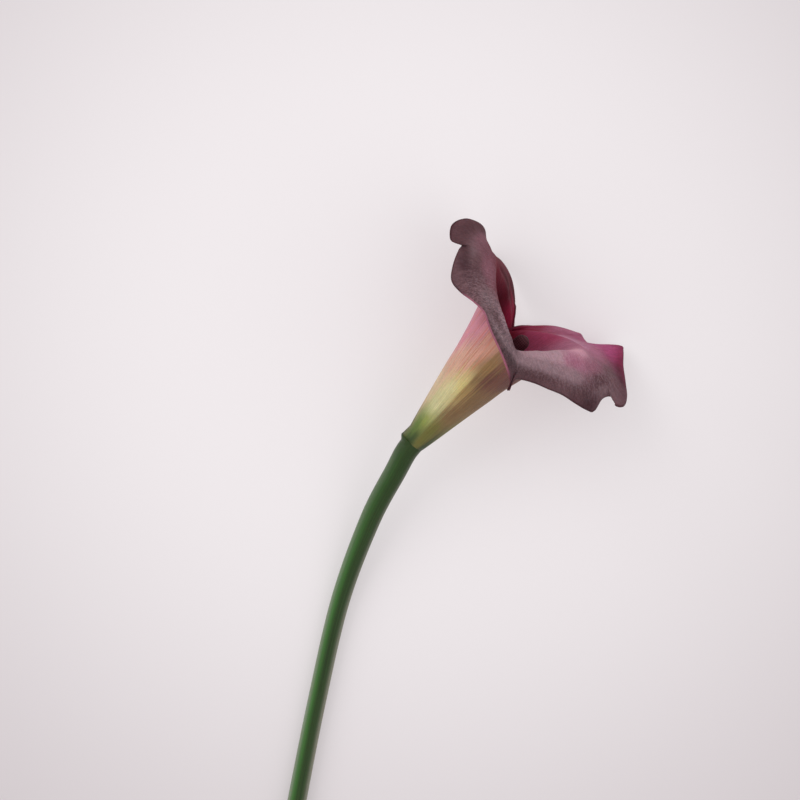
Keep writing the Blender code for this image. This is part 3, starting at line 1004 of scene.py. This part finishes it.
def spadix_material(skin):
    """The spike: dark maroon between the tiny flowers, mauve and dusty on their tops."""
    made, shade, shader = new_material(
        "spadix_florets", Sheen_Weight=0.15, Sheen_Roughness=0.3, Sheen_Tint=(0.9, 0.7, 0.75, 1),
        Specular_IOR_Level=0.2,
    )
    surface = shade.group(skin, Cell_Size=0.00025, Roughness=0.65)
    tops = shade.spread(shade.attribute("floret"), -0.6, 0.7)
    colour = shade.mix(tops, tone("spike shade"), tone("spike top"))
    colour = shade.mix(shade.spread(shade.attribute("length"), 0.5, 0.1), colour, tone("spike foot"))
    shade.feed(shader["Base Color"], colour)
    shade.feed(shader["Roughness"], surface.outputs["Roughness"])
    bump = shade.add("ShaderNodeBump", Height=surface.outputs["Cells"], Strength=0.5, Distance=0.0002)
    shade.feed(shader["Normal"], bump.outputs[0])
    return made


def floor_material():
    """A pale, faintly pink table that darkens a little away from the flower as a painted falloff of light,
    and glows a little of itself to lighten its shadows.
    """
    made, shade, shader = new_material("table_paper", Roughness=0.9)
    place = shade.add("ShaderNodeTexCoord").outputs["Object"]
    off_middle = shade.add("ShaderNodeVectorMath", {"operation": "SUBTRACT"}, i0=place, i1=FLOOR_GLOW)
    away = shade.add("ShaderNodeVectorMath", {"operation": "LENGTH"}, i0=off_middle.outputs[0])
    grain = shade.add("ShaderNodeTexNoise", Vector=place, Scale=900.0, Detail=2.0).outputs["Fac"]
    far = shade.spread(away.outputs["Value"], *GLOW_SPAN)
    colour = shade.mix(far, tone("table middle"), tone("table edge"))
    colour = shade.mix(shade.math("MULTIPLY", grain, 0.03), colour, tone("table grain"))
    lit = (FLOOR_LIT, FLOOR_LIT, FLOOR_LIT, 1)
    shade.feed(shader["Base Color"], shade.mix(1.0, colour, lit, "MULTIPLY"))
    shade.feed(shader["Emission Color"], colour)
    shader["Emission Strength"].default_value = FLOOR_OWN_LIGHT
    return made


def make_floor():
    bpy.ops.mesh.primitive_plane_add(size=FLOOR_SIZE, location=(CAMERA_PLACE[0], CAMERA_PLACE[1], 0))
    floor = bpy.context.active_object
    floor.name = "table_top"
    floor.data.materials.append(floor_material())


def add_area_light(name, place, size, power, colour):
    light = bpy.data.lights.new(name, "AREA")
    light.size = size
    light.energy = power
    light.color = colour
    lamp = bpy.data.objects.new(name, light)
    lamp.location = place
    lamp.rotation_euler = (LIGHT_AIM - lamp.location).to_track_quat("-Z", "Y").to_euler()
    bpy.context.scene.collection.objects.link(lamp)


def make_light():
    world = bpy.data.worlds.new("studio")
    bpy.context.scene.world = world
    world.use_nodes = True
    sky = world.node_tree.nodes["Background"].inputs
    sky["Color"].default_value, sky["Strength"].default_value = SKY
    for lamp in LAMPS:
        add_area_light(*lamp)


def make_camera():
    camera = bpy.data.cameras.new("camera")
    camera.angle = VIEW_ANGLE
    holder = bpy.data.objects.new("camera", camera)
    holder.location = CAMERA_PLACE
    bpy.context.scene.collection.objects.link(holder)
    bpy.context.scene.camera = holder


def main():
    streaks, skin = streaks_group(), skin_group()
    make_spathe([spathe_outer_material(streaks, skin), spathe_inner_material(streaks, skin)])
    make_stem([stem_material(streaks, skin), cut_material(skin)])
    make_spadix([spadix_material(skin)])
    make_floor()
    make_light()
    make_camera()
    bpy.context.scene.view_settings.view_transform = "Standard"


main()
